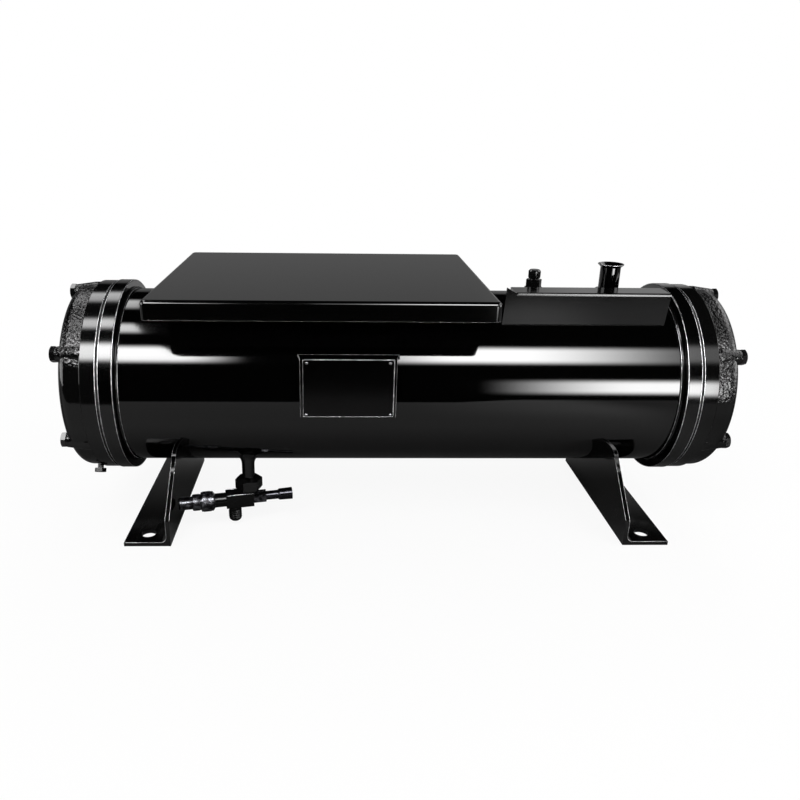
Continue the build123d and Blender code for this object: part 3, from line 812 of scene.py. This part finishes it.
def floor_material():
    """Pale studio floor. The camera sees it as plain white, with part of the
    object's real shadow left in it near the feet; further out it is all white.
    In the gloss of the paint it is a grey that grows from under the object outwards, more so
    towards the front right, and falls off at the floor's far front and far right. The dark grey
    under the object is a painted shadow, and the lighter grey at the front right is painted
    light."""
    mat, tree = new_material("pale studio floor")
    place = node(tree, "ShaderNodeTexCoord").outputs["Object"]
    xyz = node(tree, "ShaderNodeSeparateXYZ", Vector=place)
    x, y = xyz.outputs["X"], xyz.outputs["Y"]
    # Painted shadow and light, seen only in reflections: the grey is darkest under the object
    # and lightest to the front right
    right = node(tree, "ShaderNodeMapRange", SMOOTH, Value=x, From_Min=0.02, From_Max=0.36)
    front = node(tree, "ShaderNodeMapRange", SMOOTH, Value=y, From_Min=-0.18, From_Max=-0.46)
    front_right = node(tree, "ShaderNodeMath", TIMES, i0=right, i1=front)
    aside = node(tree, "ShaderNodeMath", {"operation": "ABSOLUTE"}, i0=y)
    outwards = node(tree, "ShaderNodeMapRange", SMOOTH, Value=aside,
                    From_Min=0.04, From_Max=0.24, To_Min=0.10, To_Max=0.50)
    grey = node(tree, "ShaderNodeMath", TIMES_PLUS, i0=front_right, i1=0.42, i2=outwards)
    far_front = node(tree, "ShaderNodeMapRange", SMOOTH, Value=y,
                     From_Min=-0.87, From_Max=-0.75, To_Min=0.08, To_Max=1.0)
    far_right = node(tree, "ShaderNodeMapRange", SMOOTH, Value=x,
                     From_Min=0.36, From_Max=0.52, To_Min=1.0, To_Max=0.4)
    grey = node(tree, "ShaderNodeMath", TIMES, i0=grey, i1=far_front)
    grey = node(tree, "ShaderNodeMath", TIMES, i0=grey, i1=far_right)
    path = node(tree, "ShaderNodeLightPath")
    tint = node(tree, "ShaderNodeMix", {"data_type": "RGBA"},
                Factor=path.outputs["Is Glossy Ray"], i6=colour("#F1F1F0"), i7=grey)
    shader = node(tree, "ShaderNodeBsdfPrincipled", Base_Color=tint.outputs[2],
                  Roughness=0.9, Specular_IOR_Level=0.0)
    away = node(tree, "ShaderNodeVectorMath", {"operation": "LENGTH"}, i0=place)
    share = node(tree, "ShaderNodeMapRange", SMOOTH, Value=away.outputs["Value"],
                 From_Min=0.45, From_Max=1.3, To_Min=0.9)
    white = node(tree, "ShaderNodeEmission", Color=(1, 1, 1, 1), Strength=1.0)
    part = node(tree, "ShaderNodeMath", TIMES, i0=path.outputs["Is Camera Ray"], i1=share)
    mix = node(tree, "ShaderNodeMixShader", i0=part, i1=shader, i2=white)
    node(tree, "ShaderNodeOutputMaterial", Surface=mix)
    return mat


def white_room():
    """A plain white world: full white to the camera, in gloss and through glass,
    and 0.55 of that as light on the object."""
    world = bpy.data.worlds.new("plain white room")
    bpy.context.scene.world = world
    world.use_nodes = True
    tree = world.node_tree
    tree.nodes.clear()
    path = node(tree, "ShaderNodeLightPath")
    seen = node(tree, "ShaderNodeMath", LARGER,
                i0=path.outputs["Is Camera Ray"], i1=path.outputs["Is Glossy Ray"])
    seen = node(tree, "ShaderNodeMath", LARGER, i0=seen, i1=path.outputs["Is Transmission Ray"])
    level = node(tree, "ShaderNodeMapRange", Value=seen, To_Min=0.55, To_Max=1.0)
    light = node(tree, "ShaderNodeBackground", Color=(1, 1, 1, 1), Strength=level)
    node(tree, "ShaderNodeOutputWorld", Surface=light)


def soft_lamp(name, place, power):
    """A soft square lamp, 1.4 m wide, aimed just over the middle of the shell."""
    data = bpy.data.lights.new(name, "AREA")
    data.shape = "SQUARE"
    data.size = 1.4
    data.energy = power
    obj = bpy.data.objects.new(name, data)
    target = Vector((0, 0, 0.2))
    aim = (target - Vector(place)).to_track_quat("-Z", "Y").to_matrix().to_4x4()
    obj.matrix_world = Matrix.Translation(place) @ aim
    obj.visible_camera = False
    obj.visible_glossy = False
    bpy.context.scene.collection.objects.link(obj)


def camera():
    """The camera fitted to the photograph: 20.3 degrees down, 1.7 degrees to the
    right and rolled by 0.8, with the frame's middle moved a little sideways. Its
    focal length and principal point are in pixels of the 800 pixel frame."""
    pitch, yaw, roll = math.radians(20.33), math.radians(1.71), math.radians(0.76)
    place = (-0.0767, -0.9315, 0.4913)
    wide, focal, principal = 800, 750.4, 357.4
    view = Vector((math.sin(yaw) * math.cos(pitch), math.cos(yaw) * math.cos(pitch),
                   -math.sin(pitch)))
    right = Vector((math.cos(yaw), -math.sin(yaw), 0))
    up = right.cross(view)
    across = math.cos(roll) * right + math.sin(roll) * up
    upright = -math.sin(roll) * right + math.cos(roll) * up
    data = bpy.data.cameras.new("camera")
    data.sensor_width = 36.0
    data.lens = 36.0 * focal / wide
    data.shift_x = (wide / 2 - principal) / wide
    data.clip_start = 0.01
    obj = bpy.data.objects.new("camera", data)
    turn = Matrix((across, upright, -view)).transposed().to_4x4()
    obj.matrix_world = Matrix.Translation(place) @ turn
    bpy.context.scene.collection.objects.link(obj)
    bpy.context.scene.camera = obj


stage_mesh("floor", [(-9, -9, 0), (9, -9, 0), (9, 9, 0), (-9, 9, 0)], floor_material(),
           glossy_only=False)
studio()
white_room()
soft_lamp("key lamp", (-0.9, -1.7, 2.1), 34)
soft_lamp("fill lamp", (1.6, -0.9, 1.7), 16)
soft_lamp("back lamp", (0.4, 1.9, 1.8), 16)
camera()
bpy.context.scene.view_settings.view_transform = "Standard"
